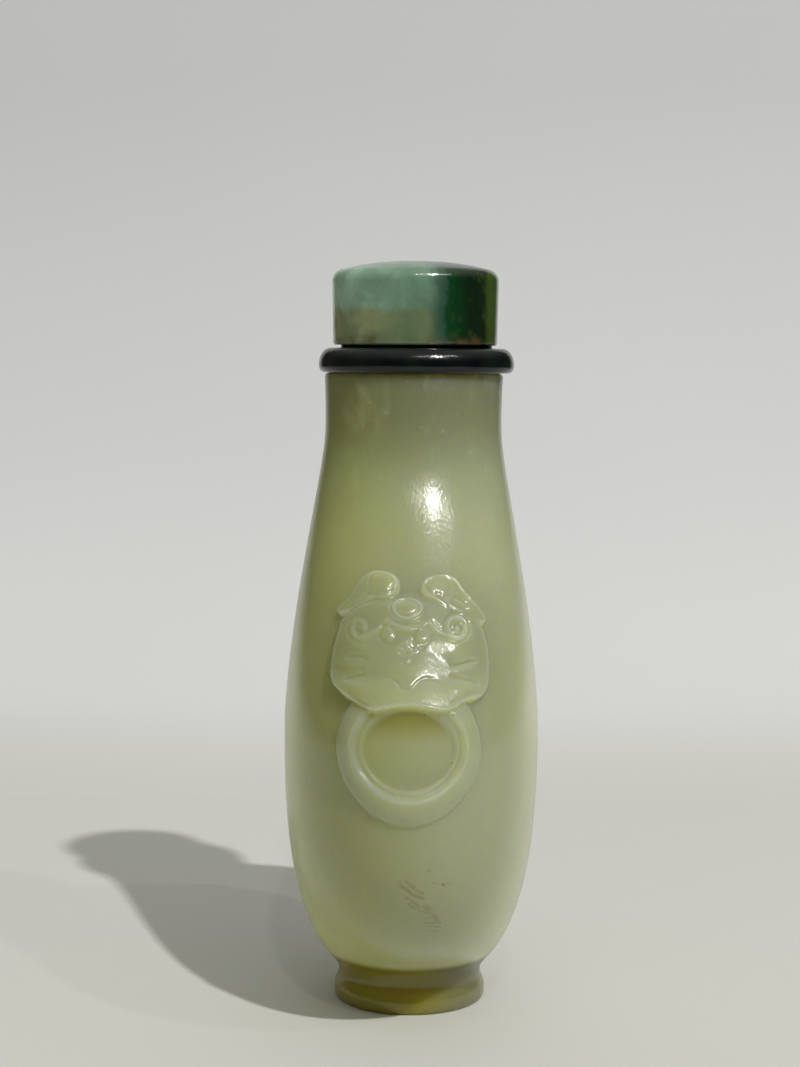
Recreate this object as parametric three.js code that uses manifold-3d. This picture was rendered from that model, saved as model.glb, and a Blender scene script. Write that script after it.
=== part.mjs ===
// A carved snuff bottle: a flattened, hollow stone bottle with a lion mask and a loose-looking
// ring carved in relief on each narrow side, a dark stone collar on its lip and a green stone cap.
// Millimetres, +Z up, origin under the middle of the foot. The narrow sides face -Y and +Y.

import * as THREE from 'three'
import { mergeVertices } from 'three/addons/utils/BufferGeometryUtils.js'
import Module from 'manifold-3d'

// ---- driving dimensions -------------------------------------------------------------------

const BOTTLE_HEIGHT = 63.8
const TOTAL_HEIGHT = 75

// belly: its height above the table, and its half-widths across X (narrow) and Y (wide)
const BELLY_Z = 28.1
const BELLY_X = 12.85
const BELLY_Y = 24.5

const NECK_Z = 57.5
const NECK_RADIUS = 8.8
const NECK_EASE = 0.08
const LIP_FLARE = 0.15
const LIP_EDGE = 0.45

const FOOT_RADIUS = 7.7
const FOOT_WAIST = 7.2
const FOOT_HEIGHT = 2.7
const FOOT_EDGE = 0.5
const FOOT_DEPTH_RATIO = 1.04
const FOOT_RIM = 1.7
const FOOT_RECESS = 0.8

const WALL = 3
const CAVITY_FLOOR = 6
const CAVITY_TOP = 56.5
const BORE_RADIUS = 3.9

const COLLAR = { radius: 9.83, waist: 64.6, top: 66.3, hole: 3.9, shiftX: 0.25 }
const COLLAR_UPPER_ROUND = 1.15
const COLLAR_LOWER_ROUND = 0.5
const SEAT_RADIUS = 7.6
const SEAT_TOP = 66.6

const CAP_RADIUS = 8.36
const CAP_DRAFT = 0.11
const CAP_EDGE = 1.3
const CAP_DOME = 1.1
const CAP_SHIFT_X = 0.1

// carving: how proud each layer of the mask stands, and where its middle line is
const MASK_X = -0.35
const MASK_RELIEF = 0.75
const EAR_RELIEF = 1.05
const RING_RELIEF = 0.8
const RING_Z = 29.7
const RING_OUTER = 6.95
const RING_INNER = 4.35
const RING_INNER_Z = 30.35
const KNOB_SINK = 0.4

// ---- the bottle's outline, as half-widths at a height ---------------------------------------

// the larger of two lengths, with a small fillet where they are alike
function filletMax(p, q, fillet) {
  return (p + q + Math.sqrt((p - q) ** 2 + fillet ** 2)) / 2
}

// A swelling outline: fullest at BELLY_Z, drawn in to the neck above and to the foot below.
// rise and shoulder shape the upper stretch, sink, round and floor the lower one.
function outlineAt(z, full, neck, neckZ, upper, lower) {
  if (z >= BELLY_Z) {
    const t = (z - BELLY_Z) / (neckZ - BELLY_Z)
    return neck + (full - neck) * filletMax(1 - t ** upper.rise, 0, NECK_EASE) ** upper.shoulder
  }
  const s = Math.min((BELLY_Z - z) / (BELLY_Z - lower.floor), 1)
  return full * (1 - s ** lower.sink) ** (1 / lower.round)
}

function lipFlare(z) {
  const t = Math.max((z - NECK_Z) / (BOTTLE_HEIGHT - NECK_Z), 0)
  return LIP_FLARE * t * t
}

function halfWidthX(z) {
  const body = outlineAt(z, BELLY_X, NECK_RADIUS, NECK_Z,
    { rise: 1.57, shoulder: 1.19 }, { floor: 1.65, sink: 2.5, round: 3.08 })
  return filletMax(body, FOOT_WAIST, 0.5) + lipFlare(z)
}

function halfWidthY(z) {
  const body = outlineAt(z, BELLY_Y, NECK_RADIUS, NECK_Z,
    { rise: 1.74, shoulder: 2.02 }, { floor: 1.47, sink: 2.54, round: 1.42 })
  return filletMax(body, FOOT_WAIST * FOOT_DEPTH_RATIO, 0.5) + lipFlare(z)
}

function cavityX(z) {
  return outlineAt(z, BELLY_X - WALL, BORE_RADIUS, CAVITY_TOP,
    { rise: 1.57, shoulder: 1.19 }, { floor: CAVITY_FLOOR, sink: 2.5, round: 3 })
}

function cavityY(z) {
  return outlineAt(z, BELLY_Y - WALL, BORE_RADIUS, CAVITY_TOP,
    { rise: 1.74, shoulder: 2.02 }, { floor: CAVITY_FLOOR, sink: 2.5, round: 2.2 })
}

// ---- making and joining solids --------------------------------------------------------------

const wasm = await Module()
wasm.setup()

function toSolid(geometry) {
  const bare = geometry.clone()
  bare.deleteAttribute('normal')
  bare.deleteAttribute('uv')
  const merged = mergeVertices(bare, 1e-4)
  const mesh = new wasm.Mesh({
    numProp: 3,
    vertProperties: new Float32Array(merged.attributes.position.array),
    triVerts: new Uint32Array(merged.index.array),
  })
  return new wasm.Manifold(mesh)
}

function toGeometry(solid) {
  const mesh = solid.getMesh()
  const geometry = new THREE.BufferGeometry()
  geometry.setAttribute('position', new THREE.BufferAttribute(mesh.vertProperties, 3))
  geometry.setIndex(new THREE.BufferAttribute(mesh.triVerts, 1))
  geometry.computeVertexNormals()
  return geometry
}

// evenly spaced values from first to last
function steps(first, last, count) {
  return Array.from({ length: count + 1 }, (_, i) => first + (last - first) * i / count)
}

// A quarter turn of an ellipse about (r, z), from angle a to angle b in degrees.
function roundEdge(r, z, radiusR, radiusZ, a, b, count) {
  return steps(a, b, count).map(degrees => {
    const angle = THREE.MathUtils.degToRad(degrees)
    return new THREE.Vector2(r + radiusR * Math.cos(angle), z + radiusZ * Math.sin(angle))
  })
}

// Turns a profile of (radius, height) about +Z, then draws it out along Y by depthRatio(height).
function turned(profile, segments, depthRatio = () => 1) {
  const geometry = new THREE.LatheGeometry(profile, segments)
  geometry.rotateX(Math.PI / 2)
  const position = geometry.attributes.position
  for (let i = 0; i < position.count; i++) {
    position.setY(i, position.getY(i) * depthRatio(position.getZ(i)))
  }
  return geometry
}

// ---- the bottle ------------------------------------------------------------------------------

const BODY_SEGMENTS = 44
const CAVITY_SEGMENTS = 28

// heights of the profile's rings, closer together near the foot, where the body curves most
function bodyHeights(first, last, count) {
  return steps(0, 1, count).map(t => first + (last - first) * t ** 1.25)
}

// The body's outer solid, grown outwards by proud.
function bodyOuter(proud) {
  const foot = FOOT_RADIUS + proud
  const rimInside = FOOT_RADIUS - FOOT_RIM
  const lip = halfWidthX(BOTTLE_HEIGHT) + proud
  const profile = [
    new THREE.Vector2(0, FOOT_RECESS),
    new THREE.Vector2(rimInside - 0.4, FOOT_RECESS),
    new THREE.Vector2(rimInside, 0),
    ...roundEdge(foot - FOOT_EDGE, FOOT_EDGE, FOOT_EDGE, FOOT_EDGE, -90, 0, 3),
    new THREE.Vector2(foot - 0.05, FOOT_HEIGHT - 1.1),
    ...bodyHeights(FOOT_HEIGHT, BOTTLE_HEIGHT - LIP_EDGE, 22)
      .map(z => new THREE.Vector2(halfWidthX(z) + proud, z)),
    ...roundEdge(lip - LIP_EDGE, BOTTLE_HEIGHT - LIP_EDGE, LIP_EDGE, LIP_EDGE, 30, 90, 2),
    new THREE.Vector2(0, BOTTLE_HEIGHT),
  ]
  const ratio = z => z < FOOT_HEIGHT ? FOOT_DEPTH_RATIO
    : (halfWidthY(z) + proud) / (halfWidthX(z) + proud)
  return toSolid(turned(profile, BODY_SEGMENTS, ratio))
}

function bodyCavity() {
  const profile = [
    new THREE.Vector2(0, CAVITY_FLOOR),
    ...steps(0, 1, 13)
      .map(t => CAVITY_FLOOR + 0.35 + (CAVITY_TOP - CAVITY_FLOOR - 0.35) * t ** 1.4)
      .map(z => new THREE.Vector2(cavityX(z), z)),
    new THREE.Vector2(BORE_RADIUS, BOTTLE_HEIGHT + 1),
    new THREE.Vector2(0, BOTTLE_HEIGHT + 1),
  ]
  const ratio = z => z > CAVITY_TOP || z <= CAVITY_FLOOR ? 1 : cavityY(z) / cavityX(z)
  return toSolid(turned(profile, CAVITY_SEGMENTS, ratio))
}

// ---- the mask and ring in relief -------------------------------------------------------------

// Right half of the face's outline, from the brow's middle round to the chin's middle.
function faceHalf() {
  const path = new THREE.Path()
  path.moveTo(0, 43.6)
  path.lineTo(5.2, 43.2)
  path.bezierCurveTo(6.6, 42.4, 6.1, 41.2, 6.6, 40.4)
  path.bezierCurveTo(7.2, 38.8, 7.7, 36.8, 7.2, 35.2)
  path.bezierCurveTo(6.8, 34.3, 6.0, 34.3, 5.2, 33.8)
  path.bezierCurveTo(3.8, 33.0, 1.6, 33.0, 0, 33.2)
  return path.getPoints(4)
}

// Right ear: a round boss beside the brow, drawn out to a point that lies over the temple.
function earOutline() {
  const path = new THREE.Path()
  path.moveTo(1.3, 43.9)
  path.bezierCurveTo(1.5, 45.1, 2.6, 45.7, 3.7, 45.5)
  path.bezierCurveTo(5.2, 45.2, 6.4, 43.0, 7.3, 41.4)
  path.bezierCurveTo(6.6, 41.0, 4.6, 42.0, 3.4, 42.6)
  path.bezierCurveTo(2.6, 42.6, 1.4, 42.8, 1.3, 43.9)
  return path.getPoints(4)
}

function mirrored(points) {
  return points.map(point => new THREE.Vector2(-point.x, point.y)).reverse()
}

// A prism through the front wall, from an outline drawn on the bottle's narrow side.
function prism(outline, holes = []) {
  const shape = new THREE.Shape(outline)
  shape.holes = holes.map(points => new THREE.Path(points))
  const geometry = new THREE.ExtrudeGeometry(shape, {
    depth: BELLY_Y + 3, bevelEnabled: false, curveSegments: 6,
  })
  geometry.rotateX(Math.PI / 2)
  geometry.translate(MASK_X, 0, 0)
  return toSolid(geometry)
}

function circle(radius, z, segments) {
  return steps(0, 2 * Math.PI, segments).slice(0, -1)
    .map(angle => new THREE.Vector2(radius * Math.cos(angle), z + radius * Math.sin(angle)))
}

// How far the front of the body stands from the middle plane at x, z.
function frontDepth(x, z) {
  return halfWidthY(z) * Math.sqrt(1 - (x / halfWidthX(z)) ** 2)
}

// A rounded knob set on the body's front: half-sizes along X and Z, standing proud.
function knob(x, z, sizeX, sizeZ, proud) {
  const geometry = new THREE.SphereGeometry(1, 10, 8)
  geometry.scale(sizeX, proud + KNOB_SINK, sizeZ)
  geometry.translate(x + MASK_X, KNOB_SINK - frontDepth(x + MASK_X, z), z)
  return toSolid(geometry)
}

const KNOBS = [
  { name: 'jewel', x: 0, z: 42.4, sizeX: 1.3, sizeZ: 1.0, proud: 1.35, pair: false },
  { name: 'nose', x: 0, z: 38.9, sizeX: 1.3, sizeZ: 0.9, proud: 1.35, pair: false },
  { name: 'eye', x: 1.7, z: 39.85, sizeX: 0.85, sizeZ: 0.85, proud: 1.4, pair: true },
  { name: 'brow curl', x: 4.4, z: 40.5, sizeX: 1.1, sizeZ: 1.1, proud: 1.15, pair: true },
  { name: 'ear boss', x: 2.8, z: 44.1, sizeX: 1.3, sizeZ: 1.2, proud: 1.35, pair: true },
  { name: 'lip lobe', x: 2.0, z: 34.9, sizeX: 1.7, sizeZ: 1.2, proud: 1.2, pair: true },
  { name: 'cheek', x: 4.6, z: 37.9, sizeX: 2.2, sizeZ: 1.7, proud: 1.1, pair: true },
]

function maskAndRing() {
  const half = faceHalf()
  const face = prism([...half, ...mirrored(half).slice(1, -1)])
  const ear = earOutline().slice(0, -1)
  const ears = prism(ear).add(prism(mirrored(ear)))
  const hole = circle(RING_INNER, RING_INNER_Z, 22)
  const ring = prism(circle(RING_OUTER, RING_Z, 32), [hole])

  let relief = face.intersect(bodyOuter(MASK_RELIEF))
  relief = relief.add(ears.intersect(bodyOuter(EAR_RELIEF)))
  relief = relief.add(ring.intersect(bodyOuter(RING_RELIEF)))
  for (const { x, z, sizeX, sizeZ, proud, pair } of KNOBS) {
    for (const side of pair ? [1, -1] : [1]) {
      relief = relief.add(knob(side * x, z, sizeX, sizeZ, proud))
    }
  }
  return relief
}

function bottle() {
  const front = maskAndRing()
  const back = front.rotate([0, 0, 180])
  return toGeometry(bodyOuter(0).add(front).add(back).subtract(bodyCavity()))
}

// ---- the collar and the cap ------------------------------------------------------------------

const RING_SEGMENTS = 40

function collar() {
  const lowerHeight = COLLAR.waist - BOTTLE_HEIGHT
  const upperHeight = COLLAR.top - COLLAR.waist
  const profile = [
    new THREE.Vector2(COLLAR.hole, BOTTLE_HEIGHT),
    ...roundEdge(COLLAR.radius - COLLAR_LOWER_ROUND, COLLAR.waist,
      COLLAR_LOWER_ROUND, lowerHeight, -90, 0, 3),
    ...roundEdge(COLLAR.radius - COLLAR_UPPER_ROUND, COLLAR.waist,
      COLLAR_UPPER_ROUND, upperHeight, 18, 90, 4),
    new THREE.Vector2(SEAT_RADIUS, COLLAR.top),
    new THREE.Vector2(SEAT_RADIUS, SEAT_TOP),
    new THREE.Vector2(COLLAR.hole, SEAT_TOP),
    new THREE.Vector2(COLLAR.hole, BOTTLE_HEIGHT),
  ]
  return turned(profile, RING_SEGMENTS)
}

function cap() {
  const shoulder = TOTAL_HEIGHT - CAP_DOME - CAP_EDGE * 0.75
  const crownRadius = CAP_RADIUS - CAP_EDGE
  const crownZ = TOTAL_HEIGHT - CAP_DOME + CAP_EDGE * 0.25
  const profile = [
    new THREE.Vector2(0, SEAT_TOP),
    new THREE.Vector2(CAP_RADIUS - CAP_DRAFT - 0.25, SEAT_TOP),
    new THREE.Vector2(CAP_RADIUS - CAP_DRAFT, SEAT_TOP + 0.25),
    ...roundEdge(crownRadius, shoulder, CAP_EDGE, crownZ - shoulder, 0, 72, 4),
    ...steps(0.86, 0, 4).map(t => new THREE.Vector2(
      crownRadius * t, TOTAL_HEIGHT - (TOTAL_HEIGHT - crownZ) * t ** 2.4)),
  ]
  return turned(profile, RING_SEGMENTS)
}

// ---- the scene graph -------------------------------------------------------------------------

const celadonJade = new THREE.MeshStandardMaterial({ color: 0x8c9067, roughness: 0.25, metalness: 0 })
const blackGreenStone = new THREE.MeshStandardMaterial({ color: 0x0c1512, roughness: 0.2, metalness: 0 })
const greenJadeite = new THREE.MeshStandardMaterial({ color: 0x3f6a4a, roughness: 0.2, metalness: 0 })

function piece(name, geometry, material, shiftX = 0) {
  const mesh = new THREE.Mesh(geometry, material)
  mesh.name = name
  mesh.position.x = shiftX
  return mesh
}

const snuffBottle = new THREE.Group()
snuffBottle.add(
  piece('bottle', bottle(), celadonJade),
  piece('collar', collar(), blackGreenStone, COLLAR.shiftX),
  piece('stopper_cap', cap(), greenJadeite, CAP_SHIFT_X),
)

export default snuffBottle
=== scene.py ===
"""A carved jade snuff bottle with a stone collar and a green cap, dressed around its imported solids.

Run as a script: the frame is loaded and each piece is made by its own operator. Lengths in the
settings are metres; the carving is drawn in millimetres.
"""

import math

import bpy
import numpy as np
from bpy.props import FloatProperty, FloatVectorProperty, PointerProperty
from bpy.types import Operator, Panel, PropertyGroup
from mathutils import Matrix, Vector


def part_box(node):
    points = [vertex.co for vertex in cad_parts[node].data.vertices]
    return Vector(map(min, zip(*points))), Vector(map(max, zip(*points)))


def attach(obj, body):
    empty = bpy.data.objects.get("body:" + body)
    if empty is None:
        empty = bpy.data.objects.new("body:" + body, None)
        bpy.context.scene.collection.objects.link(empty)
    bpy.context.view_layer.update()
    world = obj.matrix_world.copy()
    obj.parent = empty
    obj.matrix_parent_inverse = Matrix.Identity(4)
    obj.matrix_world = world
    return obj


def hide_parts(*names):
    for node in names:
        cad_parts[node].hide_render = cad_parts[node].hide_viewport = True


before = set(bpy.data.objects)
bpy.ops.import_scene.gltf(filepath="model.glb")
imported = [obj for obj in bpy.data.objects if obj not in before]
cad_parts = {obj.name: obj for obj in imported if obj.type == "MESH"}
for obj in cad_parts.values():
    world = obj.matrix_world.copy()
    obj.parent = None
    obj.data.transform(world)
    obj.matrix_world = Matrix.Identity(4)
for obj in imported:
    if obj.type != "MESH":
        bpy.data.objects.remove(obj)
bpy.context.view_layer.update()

bl_info = {
    "name": "Carved snuff bottle",
    "version": (1, 0, 0),
    "blender": (4, 5, 0),
    "location": "3D View > Sidebar > Snuff bottle",
    "description": "Makes a carved jade snuff bottle, its collar, its cap and a plain stage",
    "category": "Object",
}

BOTTLE_LOW, BOTTLE_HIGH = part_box("bottle")
COLLAR_LOW, COLLAR_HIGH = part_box("collar")
CAP_LOW, CAP_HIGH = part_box("stopper_cap")
MM = 0.001


# ---- settings ------------------------------------------------------------------------------


def length(name, description, default):
    return FloatProperty(name=name, description=description, default=default,
                         min=0, precision=5, subtype="DISTANCE", unit="LENGTH")


def colour(name, description, default):
    return FloatVectorProperty(name=name, description=description, default=default,
                               size=3, min=0, max=1, subtype="COLOR")


def amount(name, description, default, top=1.0):
    return FloatProperty(name=name, description=description, default=default, min=0, max=top)


def angle(name, description, degrees):
    return FloatProperty(name=name, description=description, default=math.radians(degrees),
                         subtype="ANGLE", unit="ROTATION")


class BottleSettings(PropertyGroup):
    """Sizes and colours of the carved bottle."""

    height: length("Height", "From the table to the lip", BOTTLE_HIGH.z)
    belly_x: length("Narrow half-width", "Half the belly across its thin way", BOTTLE_HIGH.x)
    belly_y: length("Wide half-width", "Half the belly across its wide way, without relief", 0.0245)
    neck: length("Neck radius", "Radius at the neck's narrowest", 0.0088)
    foot: length("Foot radius", "Radius of the foot across the thin way", 0.0077)
    wall: length("Wall", "Thickness of the stone at the belly", 0.003)
    relief: amount("Relief", "Strength of the carving, 1 as drawn", 1.0, 3)
    stone: colour("Stone", "Main green of the stone", (0.385, 0.41, 0.215))
    upper_stone: colour("Upper stone", "Duller green above the belly", (0.285, 0.305, 0.16))
    # the pale colour also paints the glow of the raised carving, which is painted light
    pale: colour("Pale cloud", "Paler drift in the stone", (0.365, 0.40, 0.28))
    # painted light: a milky glow laid on the carving's steep edges
    painted_edge_glow: colour("Milk", "Milky green along the carving's edges", (0.55, 0.61, 0.46))
    neck_stone: colour("Neck stone", "Greyer stone towards the neck", (0.22, 0.24, 0.138))
    # painted shade under the lip and the collar
    painted_lip_shade: colour("Lip stone", "Darker stone under the lip", (0.145, 0.152, 0.078))
    # the foot's olive is partly the stone's own colour and partly painted shade; the grey olive below is the
    # painted lit side
    deep_olive_and_shade: colour("Deep stone", "Olive where the stone is thick and low", (0.30, 0.25, 0.003))
    lit_side_olive: colour("Grey olive", "Greyer olive on one side of the foot", (0.20, 0.20, 0.095))
    # painted shade under the jaw, at the top of the ring's opening
    hollow: colour("Hollow", "Olive at the top of the ring's opening", (0.30, 0.29, 0.06))
    stain: colour("Fissure", "Brown in the hairline fissures", (0.24, 0.20, 0.07))
    translucency: amount("Translucency", "Share of light that wanders inside the stone", 1.0)
    reach: length("Light reach", "How far light wanders inside the stone", 0.010)


class CollarSettings(PropertyGroup):
    """Finish of the dark collar."""

    stone: colour("Stone", "Near-black body colour", (0.0012, 0.0024, 0.0035))
    glow: colour("Green drift", "Dark green that shows in the stone", (0.004, 0.010, 0.006))


class CapSettings(PropertyGroup):
    """Finish of the green cap."""

    mint: colour("Mint", "Milky green of the upper pale part", (0.17, 0.29, 0.20))
    drab: colour("Drab green", "Olive-grey stone of the lower pale part", (0.165, 0.212, 0.102))
    # the two colours below are painted light on the cap's -X side
    lit_side_mint: colour("Frost", "Pale mint at the outer side", (0.42, 0.62, 0.48))
    lit_side_drab: colour("Pale drab", "Pale olive-grey at the outer side", (0.38, 0.42, 0.22))
    band: colour("Grey band", "Blue-grey band beside the bright vein", (0.033, 0.09, 0.055))
    emerald: colour("Emerald", "Bright vein", (0.001, 0.045, 0.010))
    dark: colour("Dark vein", "Near-black green beside the bright vein", (0.004, 0.017, 0.005))
    olive: colour("Olive", "Olive green past the dark vein", (0.05, 0.09, 0.012))
    residue: colour("Residue", "Brown trace along the lower rim", (0.12, 0.07, 0.022))


class StageSettings(PropertyGroup):
    """Floor, lights and camera."""

    floor: colour("Floor", "Colour of the floor", (0.675, 0.68, 0.655))
    # the rise, wall and wall top colours paint how the light falls along the sweep
    rise: colour("Rise", "Colour of the sweep where it leaves the floor", (0.72, 0.73, 0.735))
    wall: colour("Wall", "Colour of the sweep behind the object", (0.675, 0.69, 0.70))
    wall_top: colour("Wall top", "Colour of the sweep higher up", (0.67, 0.695, 0.71))
    sweep_start: length("Sweep start", "Where the floor begins to rise behind the object", 0.10)
    sweep_radius: length("Sweep radius", "Radius of the rise", 0.12)
    key_azimuth: angle("Key azimuth", "Key light, from the camera's side towards +X", 29.5)
    key_height: angle("Key height", "Key light above the floor", 45.5)
    key_power: FloatProperty(name="Key power", description="Power of the key light", default=14.2,
                             unit="POWER")
    key_size: length("Key size", "Side of the square key light", 0.037)
    side_power: FloatProperty(name="Side power", description="Power of each weak lamp beside the key",
                              default=1.25, unit="POWER")
    fill: amount("Fill", "Strength of the even light", 1.0, 5)
    sky: colour("Overhead light", "Even light from straight above", (0.50, 0.49, 0.46))
    horizon: colour("Level light", "Even light from the camera's side", (0.03, 0.03, 0.03))
    beside: colour("Side light", "Even light from the left", (0.085, 0.08, 0.055))
    beyond: colour("Beyond", "What the eye sees past the floor", (0.55, 0.56, 0.56))
    lens: FloatProperty(name="Lens", description="Focal length in millimetres", default=72.37)
    eye: FloatVectorProperty(name="Eye", description="Where the camera stands", size=3,
                             subtype="XYZ", unit="LENGTH",
                             default=(-0.00128, -0.21681, 0.06604))
    pitch: angle("Pitch", "How far the camera looks down", 4.87)
    roll: angle("Roll", "How far the camera leans", 0.416)


# ---- the bottle's outline, in millimetres -----------------------------------------------------

BELLY_Z = 28.1
NECK_Z = 57.5
NECK_EASE = 0.08
BELLY_EASE = 0.03
LIP_FLARE = 0.15
LIP_EDGE = 0.45
FOOT_WAIST = 7.2
FOOT_HEIGHT = 2.7
FOOT_EDGE = 0.5
FOOT_DEPTH_RATIO = 1.04
FOOT_RIM = 1.7
FOOT_RECESS = 0.8
CAVITY_FLOOR = 6.0
CAVITY_TOP = 56.5
BORE_RADIUS = 3.9


def fillet_max(p, q, fillet):
    """The larger of two lengths, with a small fillet where they are alike."""
    return (p + q + np.sqrt((p - q) ** 2 + fillet ** 2)) / 2


def outline_at(z, full, neck, neck_z, upper, lower):
    """Half-width of a swelling outline: upper is (rise, shoulder), lower (floor, sink, round)."""
    z = np.asarray(z, float)
    rise, shoulder = upper
    floor, sink, rounding = lower
    t = np.clip((z - BELLY_Z) / (neck_z - BELLY_Z), 0, None)
    t = t * (1 - np.exp(-t / BELLY_EASE))
    share = fillet_max(1 - t ** rise, 0, NECK_EASE) / fillet_max(1, 0, NECK_EASE)
    above = neck + (full - neck) * share ** shoulder
    s = np.clip((BELLY_Z - z) / (BELLY_Z - floor), 0, 1)
    below = full * (1 - s ** sink) ** (1 / rounding)
    return np.where(z >= BELLY_Z, above, below)


class Outline:
    """The bottle's outside and inside half-widths, from the settings."""

    def __init__(self, settings):
        self.height = settings.height / MM
        self.x = settings.belly_x / MM
        self.y = settings.belly_y / MM
        self.neck = settings.neck / MM
        self.foot = settings.foot / MM
        self.wall = settings.wall / MM

    def flare(self, z):
        t = np.clip((z - NECK_Z) / (self.height - NECK_Z), 0, None)
        return LIP_FLARE * t * t

    def outer(self, z):
        x = outline_at(z, self.x, self.neck, NECK_Z, (1.57, 1.19), (1.65, 2.5, 3.08))
        y = outline_at(z, self.y, self.neck, NECK_Z, (1.74, 2.02), (2.3, 2.54, 1.42))
        waist_y = FOOT_WAIST * FOOT_DEPTH_RATIO
        return fillet_max(x, FOOT_WAIST, 0.5) + self.flare(z), fillet_max(y, waist_y, 0.5) + self.flare(z)

    def inner(self, z):
        bore = (BORE_RADIUS, CAVITY_TOP)
        x = outline_at(z, self.x - self.wall, *bore, (1.57, 1.19), (CAVITY_FLOOR, 2.5, 3.0))
        y = outline_at(z, self.y - self.wall, *bore, (1.74, 2.02), (CAVITY_FLOOR, 2.5, 2.2))
        return x, y


# ---- the carving: a height in millimetres over the narrow side ---------------------------------
# u runs to the right of the mask's middle line and z up from the table, both in millimetres.

MASK_X = -0.35
RELIEF_REACH = 0.8


def ease(low, high, value):
    t = np.clip((value - low) / (high - low), 0, 1)
    return t * t * (3 - 2 * t)


def through(points, closed=False, steps=8):
    """A smooth curve through a few points."""
    p = np.asarray(points, float)
    n = len(p)
    count = n if closed else n - 1
    pick = (lambda i: p[i % n]) if closed else (lambda i: p[min(max(i, 0), n - 1)])
    t = np.linspace(0, 1, steps, endpoint=False)[:, None]
    curve = []
    for i in range(count):
        a, b, c, d = pick(i - 1), pick(i), pick(i + 1), pick(i + 2)
        curve.append(0.5 * (2 * b + (c - a) * t + (2 * a - 5 * b + 4 * c - d) * t ** 2
                            + (3 * b - a - 3 * c + d) * t ** 3))
    curve.append(p[:1] if closed else p[-1:])
    return np.concatenate(curve)


def curl(centre, start, turns, outer, inner, steps=44):
    """A curl wound inwards to its eye; start is the angle in degrees, negative turns run clockwise."""
    t = np.linspace(0, 1, steps)
    radius = outer + (inner - outer) * t ** 2.2
    around = math.radians(start) + 2 * math.pi * turns * t
    return np.stack([centre[0] + radius * np.cos(around), centre[1] + radius * np.sin(around)], -1)


def away(u, z, path):
    """Distance from each point to a path, and how far along it (0 to 1) the nearest place is."""
    best = np.full(u.shape, 1e9)
    along = np.zeros(u.shape)
    seg = np.linalg.norm(np.diff(path, axis=0), axis=1)
    total = max(seg.sum(), 1e-9)
    done = 0.0
    for (a, b), run in zip(zip(path[:-1], path[1:]), seg):
        d = b - a
        t = np.clip(((u - a[0]) * d[0] + (z - a[1]) * d[1]) / max(d @ d, 1e-12), 0, 1)
        gap = np.hypot(u - a[0] - t * d[0], z - a[1] - t * d[1])
        nearer = gap < best
        best = np.where(nearer, gap, best)
        along = np.where(nearer, (done + t * run) / total, along)
        done += run
    return best, along


def depth_inside(u, z, outline):
    """Distance in from a closed outline, negative outside it."""
    gap, _ = away(u, z, outline)
    inside = np.zeros(u.shape, bool)
    for a, b in zip(outline[:-1], outline[1:]):
        crosses = (a[1] > z) != (b[1] > z)
        at = a[0] + (z - a[1]) * (b[0] - a[0]) / (b[1] - a[1] if b[1] != a[1] else 1e-9)
        inside ^= crosses & (u < at)
    return np.where(inside, gap, -gap)


def dome(u, z, centre, size, height, fullness=2.0):
    """A rounded swelling with half-sizes along u and z."""
    r2 = ((u - centre[0]) / size[0]) ** 2 + ((z - centre[1]) / size[1]) ** 2
    return height * np.clip(1 - r2, 0, None) ** (1 / fullness)


def swell(u, z, centre, size, height):
    """A soft swelling that fades into what it stands on."""
    r2 = ((u - centre[0]) / size[0]) ** 2 + ((z - centre[1]) / size[1]) ** 2
    return height * np.exp(-1.6 * r2)


def cut(u, z, path, depth, width, fade=0.25):
    """A V-shaped groove along a path that runs out at its ends."""
    gap, along = away(u, z, path)
    ends = ease(0, fade, along) * ease(0, fade, 1 - along) if fade else 1.0
    return depth * ends * np.exp(-(gap / width) ** 2)


DRAWN_MIDDLE = 30.0
DRAWN_HEIGHT = 0.99


def pulled(points):
    """Points as first drawn, with their heights pulled a little towards the middle of the drawing."""
    return [(u, DRAWN_MIDDLE + DRAWN_HEIGHT * (z - DRAWN_MIDDLE)) for u, z in points]


FACE = pulled([(0, 43.9), (1.6, 43.7), (4.4, 42.6), (6.5, 40.9), (7.15, 39.6), (7.5, 38.1), (7.5, 36.4),
               (7.2, 35.0), (6.4, 34.2), (5.1, 34.0), (3.7, 33.3), (2.3, 33.35), (0.6, 33.75), (-1.0, 33.7),
               (-2.4, 33.3), (-3.5, 33.2), (-4.8, 33.8), (-6.1, 34.4), (-7.05, 35.2), (-7.4, 36.4),
               (-7.2, 38.1), (-6.7, 40.1), (-6.3, 41.1), (-4.4, 42.6), (-1.6, 43.7)])
EAR_LEFT = [(-7.15, 41.75), (-6.0, 43.0), (-5.3, 43.95), (-4.5, 45.0), (-3.4, 45.5), (-2.1, 45.45),
            (-1.25, 44.95), (-1.15, 44.1), (-1.75, 43.3), (-2.9, 42.95), (-3.9, 42.9), (-5.0, 42.1),
            (-6.2, 41.45), (-6.9, 41.3)]
EAR_RIGHT = pulled([(7.5, 41.2), (6.8, 42.3), (5.4, 43.9), (4.6, 44.95), (3.6, 45.4), (2.3, 45.35),
                    (1.4, 44.95), (1.15, 44.2), (1.6, 43.4), (2.6, 42.9), (3.5, 42.3), (4.6, 41.4),
                    (6.0, 40.95), (7.3, 40.7)])
RING_CENTRE = (0.0, 29.75)
RING_OUTER = 7.15
RING_HOLE_CENTRE = (0.0, 29.97)
RING_HOLE = (4.6, 3.92)
RING_BEVELS = [(0.28, 0.0, 0.22), (0.5, 0.45, 0.42)]     # height, start and width, from the opening outwards
RING_CREST = 1.0
RING_FALL = 0.2
RING_DISH = 0.5

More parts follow.
